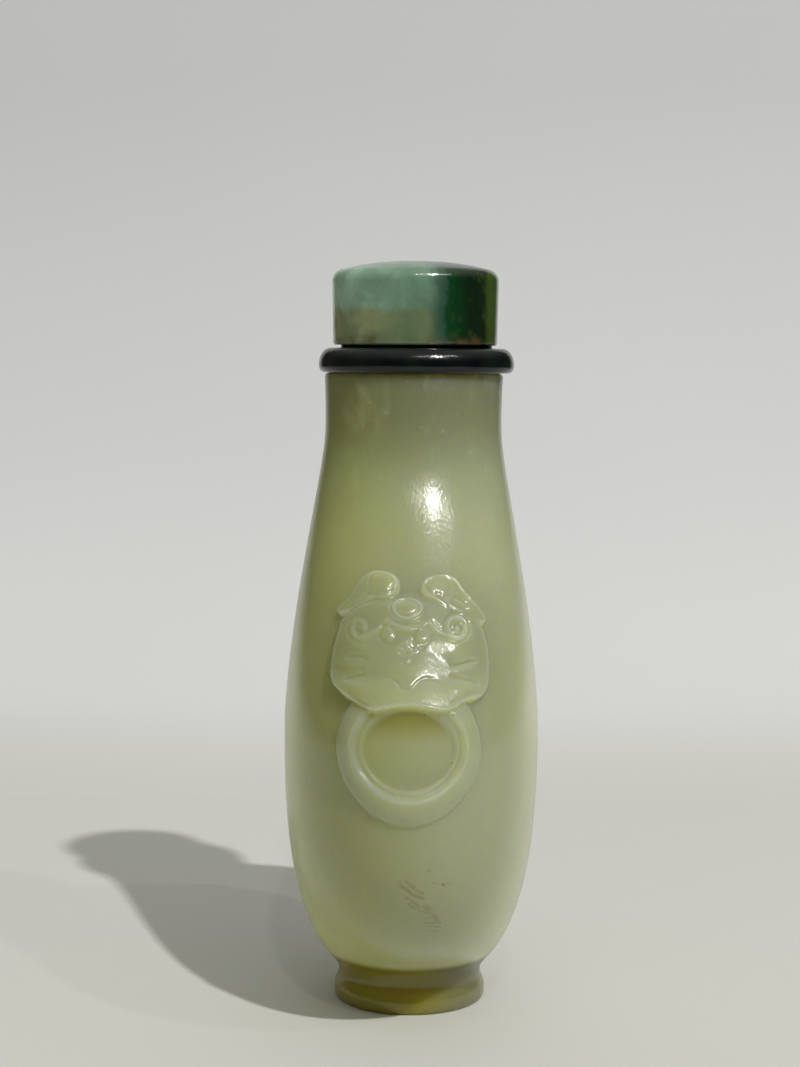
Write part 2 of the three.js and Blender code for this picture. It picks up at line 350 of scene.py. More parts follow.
EYES = [((1.25, 39.9), 0.78), ((-2.1, 40), 0.78)]
EAR_BOSSES = [((-2.75, 44.25), (1.15, 1.1)), ((2.85, 44.15), (1.05, 0.95))]
CHEEKS = [((5.5, 39.1), (1.5, 1.5), 0.36), ((-4.6, 38.7), (2.3, 1.6), 0.2),
          ((5.3, 36.7), (1.7, 0.6), 0.12), ((-5.4, 36.85), (1.7, 0.6), 0.1),
          ((5.2, 35.1), (1.5, 0.7), 0.12), ((-4.9, 35.15), (1.6, 0.75), 0.12)]
NOSE = [((-0.15, 39.05), (0.62, 0.52), 0.24), ((-0.82, 38.75), (0.42, 0.34), 0.17),
        ((0.5, 38.85), (0.42, 0.34), 0.17)]
JOWLS = [((-1.95, 34.8), (1.4, 1.3)), ((2.1, 34.85), (1.55, 1.3))]
JEWEL = (-0.2, 42.3)
CHEEK_FLAT = (2.6, 38.75)
CHEEK_FLAT_SIZE = (2.3, 1.0)
FACE_SPREAD = 1.04

# lines cut into the ears and the face, as first drawn: points, depth, half-width
EAR_CUTS = [
    # four grooves in the right ear, the fold of the left one
    ([(4.7, 43.55), (5.3, 43.2), (5.85, 42.85)], 0.2, 0.13),
    ([(4.2, 43.4), (5.0, 43.0), (5.75, 42.45)], 0.22, 0.13),
    ([(3.9, 43.0), (4.7, 42.5), (5.9, 41.95)], 0.24, 0.14),
    ([(3.55, 42.55), (4.2, 42.0), (5.2, 41.45)], 0.24, 0.14),
    ([(-3.9, 43.75), (-4.2, 43.15), (-5.3, 42.3), (-6.5, 41.8)], 0.16, 0.16),
    # hatching inside the ear bosses
    ([(-2.15, 43.85), (-1.8, 44.1), (-1.6, 44.5)], 0.14, 0.09),
    ([(-2.0, 43.55), (-1.6, 43.85), (-1.4, 44.2)], 0.14, 0.09),
    ([(2.4, 43.75), (2.75, 43.55), (3.15, 43.6)], 0.14, 0.1),
    ([(2.2, 45.05), (2.75, 45.15), (3.3, 45.0)], 0.1, 0.1),
]
CUTS = [
    # the crescent under the jewel and the line under that
    ([(-1.95, 41.3), (-1.05, 41.0), (-0.1, 40.9), (0.7, 41.0), (1.35, 41.3)], 0.2, 0.13),
    ([(-2.2, 40.95), (-1.5, 40.45), (-0.7, 40.15), (0.1, 40.1), (0.7, 40.3)], 0.12, 0.13),
    # lids, nostrils and the lines below the nose
    ([(0.25, 40.0), (0.35, 39.35), (0.95, 38.95), (1.75, 39.05)], 0.16, 0.12),
    ([(-1.15, 38.6), (-0.6, 38.4), (-0.2, 38.6), (-0.05, 38.85)], 0.22, 0.11),
    ([(-0.35, 39.55), (0.0, 39.25), (0.35, 38.95), (0.75, 38.9)], 0.2, 0.12),
    ([(-0.95, 37.65), (-0.3, 37.45), (0.2, 37.7), (0.65, 37.65)], 0.12, 0.11),
    # cheek creases
    ([(3.7, 37.35), (4.7, 37.4), (5.7, 37.6), (6.8, 37.5)], 0.26, 0.16),
    ([(3.7, 36.5), (4.5, 36.2), (5.3, 36.05), (6.1, 35.65), (6.8, 35.1)], 0.24, 0.16),
    ([(-6.3, 37.65), (-5.0, 37.9), (-3.7, 37.7)], 0.16, 0.18),
    ([(-6.2, 35.5), (-5.4, 36.1), (-4.1, 36.45)], 0.2, 0.17),
    # the upper lip, an M, and the folds of the jaw
    ([(-2.9, 35.95), (-2.0, 36.3), (-1.2, 36.0), (-0.7, 35.45), (-0.2, 35.3), (0.3, 35.45),
      (0.85, 36.0), (1.5, 36.3), (2.2, 36.25), (2.8, 36.05), (3.1, 35.65)], 0.17, 0.13),
    ([(-6.5, 34.95), (-5.2, 34.3), (-4.2, 33.75), (-3.3, 33.6)], 0.14, 0.12),
    ([(6.6, 34.75), (5.5, 34.55), (4.5, 34.25), (3.6, 33.85)], 0.12, 0.12),
]


def ring_relief(u, z):
    """The hanging ring: two bevels up from its oval opening, then a broad gentle outer slope."""
    from_hole = np.arctan2(z - RING_HOLE_CENTRE[1], u - RING_HOLE_CENTRE[0])
    rho = np.hypot(u - RING_HOLE_CENTRE[0], z - RING_HOLE_CENTRE[1])
    hole = 1 / np.sqrt((np.cos(from_hole) / RING_HOLE[0]) ** 2 + (np.sin(from_hole) / RING_HOLE[1]) ** 2)
    drop = RING_HOLE_CENTRE[1] - RING_CENTRE[1]
    along = drop * np.sin(from_hole)
    outer = -along + np.sqrt(along ** 2 + RING_OUTER ** 2 - drop ** 2)
    outward = rho - hole
    band = sum(rise * np.clip((outward - start) / width, 0, 1) for rise, start, width in RING_BEVELS)
    band = band - RING_FALL * np.clip(outward - RING_CREST, 0, None)
    walls = ease(-0.15, 0.35, outer - rho)
    ring = np.clip(band, 0, None) * walls * (1 - 0.3 * ease(31.5, 35, z))
    dish = -RING_DISH * np.clip(1 - (rho / hole) ** 2, 0, None)
    return np.where(rho < hole, dish, ring)


def face_forms(u, z):
    """The rounded forms of the face: cheeks, jowls, eyes, nose, muzzle, jewel and brows."""
    forms = np.zeros_like(u)
    for centre, size, height in CHEEKS:
        forms += swell(u, z, centre, size, height)
    for centre, size in JOWLS:
        forms += dome(u, z, centre, size, 0.04, 1.3)

    # a flat plane from the nose out to the crest of one cheek
    du, dz = u - CHEEK_FLAT[0], z - CHEEK_FLAT[1]
    plane = 0.12 + 0.19 * du + 0.185 * dz + 0.08 * du * du
    share = np.exp(-((du / CHEEK_FLAT_SIZE[0]) ** 4 + (dz / CHEEK_FLAT_SIZE[1]) ** 4))
    forms = forms * (1 - share) + plane * share

    for centre, radius in EYES:
        gap = np.hypot(u - centre[0], (z - centre[1]) / 0.95)
        forms += 0.2 * np.clip(1 - (gap / radius) ** 2, 0, None) ** 0.7
        forms -= 0.17 * np.exp(-((gap - radius) / 0.13) ** 2)

    # nose: a bridge, a round tip and two wings
    forms += swell(u, z, (-0.3, 39.5), (0.7, 1.0), 0.08)
    for centre, size, height in NOSE:
        forms = np.maximum(forms, dome(u, z, centre, size, height, 1.6))
    forms += swell(u, z, (-0.2, 36.6), (2.0, 1.2), 0.1)

    # jewel on the brow: a thin rim and a low oval inside a groove
    r = np.hypot((u - JEWEL[0]) / 1.34, (z - JEWEL[1]) / 0.92)
    forms += 0.16 * np.exp(-((r - 1.0) / 0.1) ** 2) - 0.2 * np.exp(-((r - 0.82) / 0.08) ** 2)
    forms += dome(u, z, JEWEL, (1.06, 0.72), 0.14, 1.6)
    forms -= 0.12 * np.exp(-((r - 1.2) / 0.09) ** 2)

    # a crescent under the jewel
    band, _ = away(u, z, through([(-2.2, 41.0), (-1.1, 40.6), (-0.1, 40.45), (0.9, 40.6), (1.8, 41.0)]))
    forms += 0.16 * np.exp(-(band / 0.3) ** 4)

    # brows: rolls that end in curls, the right one crisp, the left one worn
    crisp = np.concatenate([through([(1.7, 41.25), (2.08, 40.81), (2.7, 40.16)]),
                            curl((4.38, 40.46), 222, 1.3, 1.06, 0.22)])
    gap, along = away(u, z, crisp)
    roll = 0.25 * np.exp(-(gap / 0.16) ** 2) - 0.14 * np.exp(-((gap - 0.32) / 0.12) ** 2)
    forms += ease(0, 0.1, along) * roll
    worn = np.concatenate([through([(-2.5, 41.0), (-2.96, 40.43), (-3.65, 39.89)]),
                           curl((-4.72, 40.2), 318, -0.9, 0.9, 0.35)])
    gap, along = away(u, z, worn)
    roll = 0.13 * np.exp(-(gap / 0.22) ** 2) - 0.06 * np.exp(-((gap - 0.38) / 0.14) ** 2)
    forms += ease(0, 0.1, along) * roll
    forms += dome(u, z, (-4.73, 40.3), (0.3, 0.28), 0.08)
    return forms


def mask_relief(u, z):
    """Height of the lion mask over the narrow side: it thickens downwards and fades out at the brow."""
    inside = depth_inside(u / FACE_SPREAD, z, through(FACE, closed=True, steps=5))
    on_face = ease(-0.12, 0.22, inside)
    thickness = 0.56 + 0.16 * np.clip(36.4 - z, 0, 3.1)
    face = on_face * (1 - ease(42.3, 43.9, z)) * (thickness + 0.06 * np.exp(-((inside - 0.2) / 0.13) ** 2))
    detail = face_forms(u, z)
    for points, depth, width in CUTS:
        detail -= cut(u, z, through(pulled(points)), depth, width)
    return face + on_face * (1 - ease(43.0, 43.8, z)) * detail


def ear_relief(u, z, outline, boss):
    """One ear: a flat flame with a thin raised edge and a low round boss at its root."""
    inside = depth_inside(u, z, through(outline, closed=True, steps=5))
    on_ear = ease(-0.12, 0.2, inside)
    centre, size = boss
    height = 0.58 + 0.06 * ease(0, 1.0, inside) + 0.08 * np.exp(-((inside - 0.18) / 0.12) ** 2)
    r = np.hypot((u - centre[0]) / size[0], (z - centre[1]) / size[1])
    height += 0.06 * np.clip(1 - r * r, 0, None) ** 0.7 - 0.06 * np.exp(-((r - 1.0) / 0.1) ** 2)
    for points, depth, width in EAR_CUTS:
        height -= cut(u, z, through(pulled(points)), depth, width)
    return on_ear * height


def carving(u, z):
    """Height of all the relief, in millimetres, over a narrow side."""
    ring = ring_relief(u, z)
    face = mask_relief(u, z)
    over = ease(0.0, 0.3, face)
    height = np.where(face > 0.01, np.maximum(ring * (1 - 0.5 * over), face), ring)
    for outline, boss in zip((EAR_LEFT, EAR_RIGHT), EAR_BOSSES):
        ear = ear_relief(u, z, outline, boss)
        height = np.where(ear > 0.01, np.maximum(height, ear), height)
    return height


# ---- meshes -----------------------------------------------------------------------------------


def smooth_mesh(name, vertices, faces):
    """A smooth-shaded mesh object from millimetre points and an array of quads or a list of faces."""
    mesh = bpy.data.meshes.new(name)
    mesh.from_pydata((np.asarray(vertices) * MM).tolist(), [], faces)
    mesh.update()
    mesh.validate()
    mesh.polygons.foreach_set("use_smooth", np.ones(len(mesh.polygons), bool))
    piece = bpy.data.objects.new(name, mesh)
    bpy.context.scene.collection.objects.link(piece)
    return piece


def skin(rings, closed_ends=True, wrap=False):
    """Points and faces of a skin over rings of equal length; the ends are closed by fans, or meet."""
    rings = np.asarray(rings)
    rows, columns = rings.shape[:2]
    points = rings.reshape(-1, 3)
    j = np.arange(columns)
    k = (j + 1) % columns
    faces = []
    for i in range(rows if wrap else rows - 1):
        low, high = i * columns, ((i + 1) % rows) * columns
        faces.extend(np.stack([low + j, low + k, high + k, high + j], -1).tolist())
    if closed_ends and not wrap:
        start, end = len(points), len(points) + 1
        points = np.concatenate([points, rings[0].mean(0)[None], rings[-1].mean(0)[None]])
        last = (rows - 1) * columns
        faces.extend(np.stack([np.full(columns, start), k, j], -1).tolist())
        faces.extend(np.stack([np.full(columns, end), last + j, last + k], -1).tolist())
    return points, faces


def arc(r, z, size_r, size_z, a, b, count):
    """Points (radius, height) round part of an ellipse, from a to b degrees."""
    t = np.radians(np.linspace(a, b, count + 1))
    return [(r + size_r * math.cos(v), z + size_z * math.sin(v)) for v in t]


def column_angles(front, back, plain):
    """Angles round the bottle from the front, closer together across the two carved sides."""
    reach = 0.7
    carved = [np.linspace(-reach, reach, count, endpoint=False) for count in (front, back)]
    side = np.linspace(reach, math.pi - reach, plain, endpoint=False)
    return np.concatenate([carved[0], side, carved[1] + math.pi, side + math.pi])


def oval(around, a, b, z):
    return np.stack([a * np.sin(around), -b * np.cos(around), np.full(around.shape, z)], -1)


def body_rows():
    """Heights of the rows of the outer wall, closest together over the mask."""
    spans = [(FOOT_HEIGHT, 6, 8), (6, 22.2, 14), (22.2, 33, 62), (33, 46, 124),
             (46, 56, 12), (56, 63.35, 8)]
    return np.concatenate([np.linspace(a, b, n, endpoint=False) for a, b, n in spans] + [[63.35]])


def near_mean(field, rows, columns):
    """A field averaged over a window of neighbours, the columns running round."""
    total = sum(np.roll(field, k, axis=1) for k in range(-columns, columns + 1)) / (2 * columns + 1)
    padded = np.pad(total, ((rows, rows), (0, 0)), mode="edge")
    return sum(padded[k:k + len(field)] for k in range(2 * rows + 1)) / (2 * rows + 1)


def body_wall(outline, around, heights, strength):
    """Rings of the outer wall with its carving, and the carving's height and steepness at each point."""
    z = heights[:, None]
    a, b = outline.outer(z)
    step = 1e-3
    a_up, b_up = outline.outer(z + step)
    slope_a, slope_b = (a_up - a) / step, (b_up - b) / step
    sin, cos = np.sin(around)[None], np.cos(around)[None]
    points = np.stack(np.broadcast_arrays(a * sin, -b * cos, z), -1)
    upward = -(a * slope_b * cos ** 2 + b * slope_a * sin ** 2)
    normal = np.stack(np.broadcast_arrays(b * sin, -a * cos, upward), -1)
    normal /= np.linalg.norm(normal, axis=-1, keepdims=True)
    near = points + RELIEF_REACH * normal
    side = np.sign(cos) + 0 * z
    u = side * near[..., 0] - MASK_X
    carved = (near[..., 2] > 22) & (near[..., 2] < 46.5) & (np.abs(u) < 8.2)
    height = np.zeros(u.shape)
    height[carved] = carving(u[carved], near[..., 2][carved])
    rise_z = np.gradient(height, heights, axis=0)
    rise_u = (np.roll(height, -1, 1) - np.roll(height, 1, 1)) / np.maximum(
        np.abs(np.roll(u, -1, 1) - np.roll(u, 1, 1)), 0.05)
    edge = near_mean(np.clip(np.hypot(rise_u, rise_z) / 2.5, 0, 1), 1, 1)
    return points + strength * height[..., None] * normal, height, edge


def bottle_rings(settings):
    outline = Outline(settings)
    around = column_angles(front=192, back=100, plain=24)
    rim = outline.foot - FOOT_RIM
    foot = [(0.6, FOOT_RECESS), (3.5, FOOT_RECESS)]
    foot += arc(rim - 0.45, FOOT_RECESS - 0.35, 0.35, 0.35, 90, 0, 4)
    foot += arc(rim + 0.15, 0.25, 0.25, 0.25, 180, 270, 4)
    foot += arc(outline.foot - FOOT_EDGE, FOOT_EDGE, FOOT_EDGE, FOOT_EDGE, -90, 0, 6)
    waist = float(outline.outer(FOOT_HEIGHT)[0])
    for z in np.linspace(0.8, FOOT_HEIGHT, 8, endpoint=False):
        foot.append((outline.foot + (waist - outline.foot) * float(ease(1.1, 2.75, z)), z))
    rings = [oval(around, r, r * FOOT_DEPTH_RATIO, z) for r, z in foot]
    before = len(rings)
    wall, height, edge = body_wall(outline, around, body_rows(), settings.relief)
    rings.extend(wall)

    lip = float(outline.outer(outline.height)[0])
    top = arc(lip - LIP_EDGE, outline.height - LIP_EDGE, LIP_EDGE, LIP_EDGE, 15, 90, 6)
    top += [(6.5, outline.height)]
    top += arc(BORE_RADIUS + 0.3, outline.height - 0.3, 0.3, 0.3, 90, 180, 4)
    inside = [oval(around, r, r, z) for r, z in top]
    for z in np.linspace(outline.height - 1.5, CAVITY_FLOOR + 0.25, 12):
        a, b = outline.inner(z)
        inside.append(oval(around, float(a), float(b), z))
    a, b = outline.inner(CAVITY_FLOOR + 0.25)
    inside.append(oval(around, 0.6 * float(a), 0.6 * float(b), CAVITY_FLOOR))
    rings.extend(inside)
    rest = ((before, len(inside)), (0, 0))
    return np.asarray(rings), {"relief": np.pad(height, rest), "edge": np.pad(edge, rest)}


def turned(name, profile, columns, shift=(0, 0), loop=False):
    """A piece turned about its axis from (radius, height) points in millimetres."""
    around = np.linspace(0, 2 * math.pi, columns, endpoint=False)
    rings = [oval(around, r, r, z) + np.array([shift[0], shift[1], 0]) for r, z in profile]
    points, faces = skin(rings, wrap=loop)
    return smooth_mesh(name, points, faces)


# ---- shader effects used by more than one stone ------------------------------------------------


def new_group(name, inputs, outputs):
    group = bpy.data.node_groups.new(name, "ShaderNodeTree")
    for label, kind, value in inputs:
        socket = group.interface.new_socket(label, in_out="INPUT", socket_type=kind)
        if value is not None:
            socket.default_value = value
    for label, kind in outputs:
        group.interface.new_socket(label, in_out="OUTPUT", socket_type=kind)
    return group, Nodes(group)


class Nodes:
    """Short calls for building a node tree."""

    def __init__(self, tree):
        self.tree = tree

    def add(self, kind, inputs=None, **settings):
        node = self.tree.nodes.new(kind)
        for key, value in settings.items():
            setattr(node, key, value)
        for key, value in (inputs or {}).items():
            self.give(node.inputs[key], value)
        return node

    def give(self, socket, value):
        if isinstance(value, bpy.types.NodeSocket):
            self.tree.links.new(value, socket)
        else:
            socket.default_value = value

    def math(self, operation, *values, clamp=False):
        node = self.add("ShaderNodeMath", operation=operation, use_clamp=clamp)
        for i, value in enumerate(values):
            self.give(node.inputs[i], value)
        return node.outputs[0]

    def vector(self, operation, *values):
        node = self.add("ShaderNodeVectorMath", operation=operation)
        for i, value in enumerate(values):
            self.give(node.inputs[3 if operation == "SCALE" and i == 1 else i], value)
        return node.outputs["Value" if operation in ("LENGTH", "DISTANCE", "DOT_PRODUCT") else "Vector"]

    def noise(self, vector, scale, detail=3.0, roughness=0.5, distortion=0.0):
        node = self.add("ShaderNodeTexNoise", {"Vector": vector, "Scale": scale, "Detail": detail,
                                               "Roughness": roughness, "Distortion": distortion})
        return node.outputs["Fac"]

    def span(self, value, low, high, to_low=0.0, to_high=1.0):
        node = self.add("ShaderNodeMapRange", {"Value": value, "From Min": low, "From Max": high,
                                               "To Min": to_low, "To Max": to_high},
                        interpolation_type="SMOOTHSTEP")
        return node.outputs["Result"]

    def group(self, key, **values):
        """A copy of one of the shared effects, with constants on its sockets."""
        node = self.add("ShaderNodeGroup", node_tree=shader_groups()[key])
        for name, value in values.items():
            node.inputs[name].default_value = value
        return node

    def blend(self, mask, share, under, over):
        """A colour laid over another where the mask is, at most by the share given."""
        return self.mix(self.math("MULTIPLY", mask, share), under, rgba(over))

    def mix(self, factor, a, b):
        node = self.add("ShaderNodeMix", data_type="RGBA")
        self.give(node.inputs[0], factor)
        self.give(node.inputs[6], a)
        self.give(node.inputs[7], b)
        return node.outputs[2]


def cloud_group():
    """Soft drifts, streaks and fine specks inside a stone."""
    group, n = new_group("Stone clouds",
                         [("Size", "NodeSocketFloat", 0.008), ("Stretch", "NodeSocketFloat", 1.0)],
                         [("Cloud", "NodeSocketFloat"), ("Wisp", "NodeSocketFloat"),
                          ("Speck", "NodeSocketFloat")])
    entry = n.add("NodeGroupInput")
    place = n.add("ShaderNodeTexCoord").outputs["Object"]
    scaled = n.vector("SCALE", place, n.math("DIVIDE", 1.0, entry.outputs["Size"]))
    tall = n.add("ShaderNodeCombineXYZ", {"X": 1.0, "Y": 1.0, "Z": entry.outputs["Stretch"]})
    drawn = n.vector("MULTIPLY", scaled, tall.outputs[0])
    cloud = n.noise(drawn, 1.0, 4.0, 0.55, 0.6)
    wisp = n.noise(drawn, 2.7, 4.0, 0.55, 0.5)
    speck = n.noise(scaled, 14.0, 2.0, 0.5)
    leave = n.add("NodeGroupOutput")
    n.give(leave.inputs["Cloud"], n.span(cloud, 0.35, 0.68))
    n.give(leave.inputs["Wisp"], n.span(wisp, 0.52, 0.74))
    n.give(leave.inputs["Speck"], n.span(speck, 0.66, 0.76))
    return group


def polish_group():
    """Roughness and a height in metres for hand-worked stone: slow ripple, fine unevenness, scratches."""
    group, n = new_group("Hand polish",
                         [("Roughness", "NodeSocketFloat", 0.2), ("Ripple", "NodeSocketFloat", 0.00002),
                          ("Grain", "NodeSocketFloat", 0.00001)],
                         [("Roughness", "NodeSocketFloat"), ("Height", "NodeSocketFloat")])
    entry = n.add("NodeGroupInput")
    place = n.add("ShaderNodeTexCoord").outputs["Object"]
    broad = n.noise(place, 210.0, 2.0, 0.4)
    fine = n.noise(place, 1900.0, 3.0, 0.55)
    upright = n.noise(n.vector("MULTIPLY", place, (3400.0, 3400.0, 900.0)), 1.0, 2.0, 0.5)
    scratches = n.math("MULTIPLY_ADD", upright, 1.7, n.math("MULTIPLY", fine, 0.8))
    grain = n.math("MULTIPLY", scratches, entry.outputs["Grain"])
    leave = n.add("NodeGroupOutput")
    vary = n.math("MULTIPLY_ADD", n.math("SUBTRACT", fine, 0.5), 0.16, entry.outputs["Roughness"])
    n.give(leave.inputs["Roughness"], vary)
    n.give(leave.inputs["Height"], n.math("MULTIPLY_ADD", broad, entry.outputs["Ripple"], grain))
    return group


def hairline_group():
    """A thin wavering line between two points of an upright plane, on the -Y side only."""
    group, n = new_group("Hairline",
                         [("Start", "NodeSocketVector", None), ("End", "NodeSocketVector", None),
                          ("Width", "NodeSocketFloat", 0.0001)],
                         [("Mask", "NodeSocketFloat")])
    entry = n.add("NodeGroupInput")
    place = n.add("ShaderNodeTexCoord").outputs["Object"]
    stray = n.add("ShaderNodeTexNoise", {"Vector": place, "Scale": 700.0, "Detail": 2.0})
    stray = n.vector("SCALE", n.vector("SUBTRACT", stray.outputs["Color"], (0.5, 0.5, 0.5)), 0.0004)
    flat = n.vector("MULTIPLY", n.vector("ADD", place, stray), (1.0, 0.0, 1.0))
    run = n.vector("SUBTRACT", entry.outputs["End"], entry.outputs["Start"])
    reach = n.vector("SUBTRACT", flat, entry.outputs["Start"])
    t = n.math("DIVIDE", n.vector("DOT_PRODUCT", reach, run), n.vector("DOT_PRODUCT", run, run), clamp=True)
    gap = n.vector("LENGTH", n.vector("SUBTRACT", reach, n.vector("SCALE", run, t)))
    line = n.span(gap, n.math("MULTIPLY", entry.outputs["Width"], 0.2), entry.outputs["Width"], 1.0, 0.0)
    broken = n.span(n.noise(place, 1100.0, 2.0), 0.3, 0.55, 0.35, 1.0)
    front = n.math("LESS_THAN", n.add("ShaderNodeSeparateXYZ", {"Vector": place}).outputs["Y"], 0.0)
    leave = n.add("NodeGroupOutput")
    n.give(leave.inputs["Mask"], n.math("MULTIPLY", n.math("MULTIPLY", line, broken), front))
    return group


def shader_groups():
    makers = {"clouds": cloud_group, "polish": polish_group, "hairline": hairline_group}
    names = {"clouds": "Stone clouds", "polish": "Hand polish", "hairline": "Hairline"}
    return {key: bpy.data.node_groups.get(names[key]) or make() for key, make in makers.items()}


def stone_material(name, roughness, ripple, grain, constants):
    """A Principled stone whose polish comes from the shared group; returns it with its nodes."""
    material = bpy.data.materials.new(name)
    material.use_nodes = True
    material.node_tree.nodes.clear()
    n = Nodes(material.node_tree)
    shader = n.add("ShaderNodeBsdfPrincipled")
    for key, value in constants.items():
        shader.inputs[key].default_value = value
    polish = n.group("polish", Roughness=roughness, Ripple=ripple, Grain=grain)
    n.give(shader.inputs["Roughness"], polish.outputs["Roughness"])
    bump = n.add("ShaderNodeBump", {"Strength": 1.0, "Distance": 1.0, "Height": polish.outputs["Height"]})
    n.give(shader.inputs["Normal"], bump.outputs["Normal"])
    out = n.add("ShaderNodeOutputMaterial")
    n.give(out.inputs["Surface"], shader.outputs["BSDF"])
    return material, n, shader


def rgba(values):
    return (*values, 1.0)


# fissures in the lower front of the bottle: points (x, z in millimetres), half-width, strength
FISSURES = [
    ([(-1.1, 17.1), (-0.9, 16.7)], 0.4, 0.22),
    ([(-0.5, 17.3), (0.3, 16.5), (1.1, 16.0)], 0.24, 0.42),
    ([(-0.9, 16.8), (0.1, 16.0), (1.1, 15.4)], 0.26, 0.5),
    ([(-0.5, 15.6), (0.1, 15.1), (0.8, 14.5)], 0.22, 0.36),
    ([(-0.2, 14.8), (0.6, 14.2), (1.4, 13.8)], 0.24, 0.4),
    ([(1.5, 14.3), (1.85, 13.9)], 0.55, 0.4),
    ([(2.1, 13.4), (2.4, 12.9)], 0.5, 0.36),
    ([(1.4, 13.2), (2.5, 13.0)], 0.16, 0.35),
    ([(1.35, 12.6), (2.8, 12.5)], 0.17, 0.42),
    ([(1.4, 12.1), (2.8, 12.0)], 0.15, 0.38),
    ([(1.7, 11.6), (2.6, 11.5)], 0.15, 0.32),
    ([(2.95, 16.85), (3.02, 16.8)], 0.26, 0.8),
    ([(2.0, 17.1), (2.9, 16.9), (3.6, 16.8)], 0.18, 0.28),
    ([(1.6, 18.45), (1.68, 18.4)], 0.2, 0.35),
    ([(-0.26, 32.87), (-0.2, 32.84)], 0.09, 0.5),
    ([(1.08, 32.9), (1.18, 32.82)], 0.1, 0.7),
    ([(3.56, 28.6), (3.62, 28.54)], 0.09, 0.6),
]


def fissure_mask(n):
    """All the hairlines of the lower front in one mask."""
    mask = None
    for points, width, strength in FISSURES:
        for start, end in zip(points[:-1], points[1:]):
            line = n.group("hairline", Start=(start[0] * MM, 0, start[1] * MM),
                           End=(end[0] * MM, 0, end[1] * MM), Width=width * MM)
            drawn = n.math("MULTIPLY", line.outputs["Mask"], strength)
            mask = drawn if mask is None else n.math("MAXIMUM", mask, drawn)
    return mask


def celadon_material(settings):
    material, n, shader = stone_material("celadon_jade", 0.23, 0.000016, 0.000016, {
        "Subsurface Weight": settings.translucency,
        "Subsurface Radius": (1.0, 0.9, 0.26),
        "Subsurface Scale": settings.reach,
        "Subsurface Anisotropy": 0.3,
        "IOR": 1.6,
    })
    axes = n.add("ShaderNodeSeparateXYZ", {"Vector": n.add("ShaderNodeTexCoord").outputs["Object"]})
    clouds = n.group("clouds", Size=0.011, Stretch=0.6)
    tint = n.mix(n.span(axes.outputs["Z"], 0.031, 0.043), rgba(settings.stone), rgba(settings.upper_stone))
    tint = n.blend(clouds.outputs["Cloud"], 0.2, tint, settings.pale)

    # the neck is greyer, with faint wisps and a few specks, and under the lip and collar it darkens with
    # painted shade
    high = n.span(axes.outputs["Z"], 0.044, 0.057)
    tint = n.blend(high, 0.9, tint, settings.neck_stone)
    tint = n.mix(n.span(axes.outputs["Z"], 0.053, 0.0615, 0.0, 0.9), tint, rgba(settings.painted_lip_shade))
    wisp = n.math("MULTIPLY", n.math("MULTIPLY", clouds.outputs["Wisp"], high), 0.3)
    tint = n.mix(wisp, tint, rgba(settings.pale))
    speck = n.math("MULTIPLY", n.math("MULTIPLY", clouds.outputs["Speck"], high), 0.15)
    tint = n.mix(speck, tint, rgba(settings.pale))

    # painted light: the broad sides, which show at the edges of the narrow side, are made paler to stand in
    # for light coming through the thin stone there, and the -X side away from the key is made yellower as
    # painted shade
    broad = n.span(n.math("ABSOLUTE", axes.outputs["Y"]), 0.007, 0.019, 1.6, 1.0)
    shade_side_yellow = n.span(axes.outputs["X"], -0.009, 0.004, 0.72, 1.12)
    blue = n.math("MULTIPLY", broad, shade_side_yellow)
    painted_light_tint = n.add("ShaderNodeCombineXYZ", {"X": broad, "Y": broad, "Z": blue})
    tint = n.vector("MULTIPLY", tint, painted_light_tint.outputs[0])

    # thick low stone is olive, partly its own colour and partly painted shade: full olive on the -X side
    # away from the key, greyer on the lit +X side as painted light
    low = n.span(axes.outputs["Z"], 0.0045, 0.0058, 1.0, 0.0)
    olive = n.mix(n.span(axes.outputs["X"], 0.0, 0.006), rgba(settings.deep_olive_and_shade), rgba(settings.lit_side_olive))
    tint = n.mix(n.math("MULTIPLY", low, 0.95), tint, olive)

    # painted light: the raised carving, most of all the thin ring, is made paler to stand in for light
    # showing through it, and its steep edges get a painted milky glow
    relief = n.add("ShaderNodeAttribute", attribute_name="relief").outputs["Fac"]
    edge = n.add("ShaderNodeAttribute", attribute_name="edge").outputs["Fac"]
    share = n.span(axes.outputs["Z"], 0.0320, 0.0345, 0.75, 0.2)
    tint = n.mix(n.math("MULTIPLY", n.span(relief, 0.05, 0.6), share), tint, rgba(settings.pale))
    edge_glow_mask = n.math("MULTIPLY", edge, n.span(axes.outputs["Z"], 0.0325, 0.0345, 0.2, 0.7))
    tint = n.mix(edge_glow_mask, tint, rgba(settings.painted_edge_glow))
    # painted shade: olive darkening at the top of the ring's opening, under the jaw's overhang
    dish_shade_mask = n.span(relief, -0.12, -0.02, 1.0, 0.0)
    shade = n.math("MULTIPLY", dish_shade_mask, n.span(axes.outputs["Z"], 0.0300, 0.0325))
    tint = n.blend(shade, 0.8, tint, settings.hollow)
    tint = n.mix(fissure_mask(n), tint, rgba(settings.stain))
    n.give(shader.inputs["Base Color"], tint)
    return material


def collar_material(settings):
    material, n, shader = stone_material("black_green_stone", 0.17, 0.00002, 0.000012, {"IOR": 1.45})
    clouds = n.group("clouds", Size=0.006)
    n.give(shader.inputs["Base Color"],
           n.mix(clouds.outputs["Cloud"], rgba(settings.stone), rgba(settings.glow)))
    return material


# where the cap's colours change, as distances along X from its middle in millimetres
BAND_START, EMERALD_START, DARK_START, OLIVE_START = 1.9, 3.05, 4.3, 7.0
DRAB_TOP = 3.45


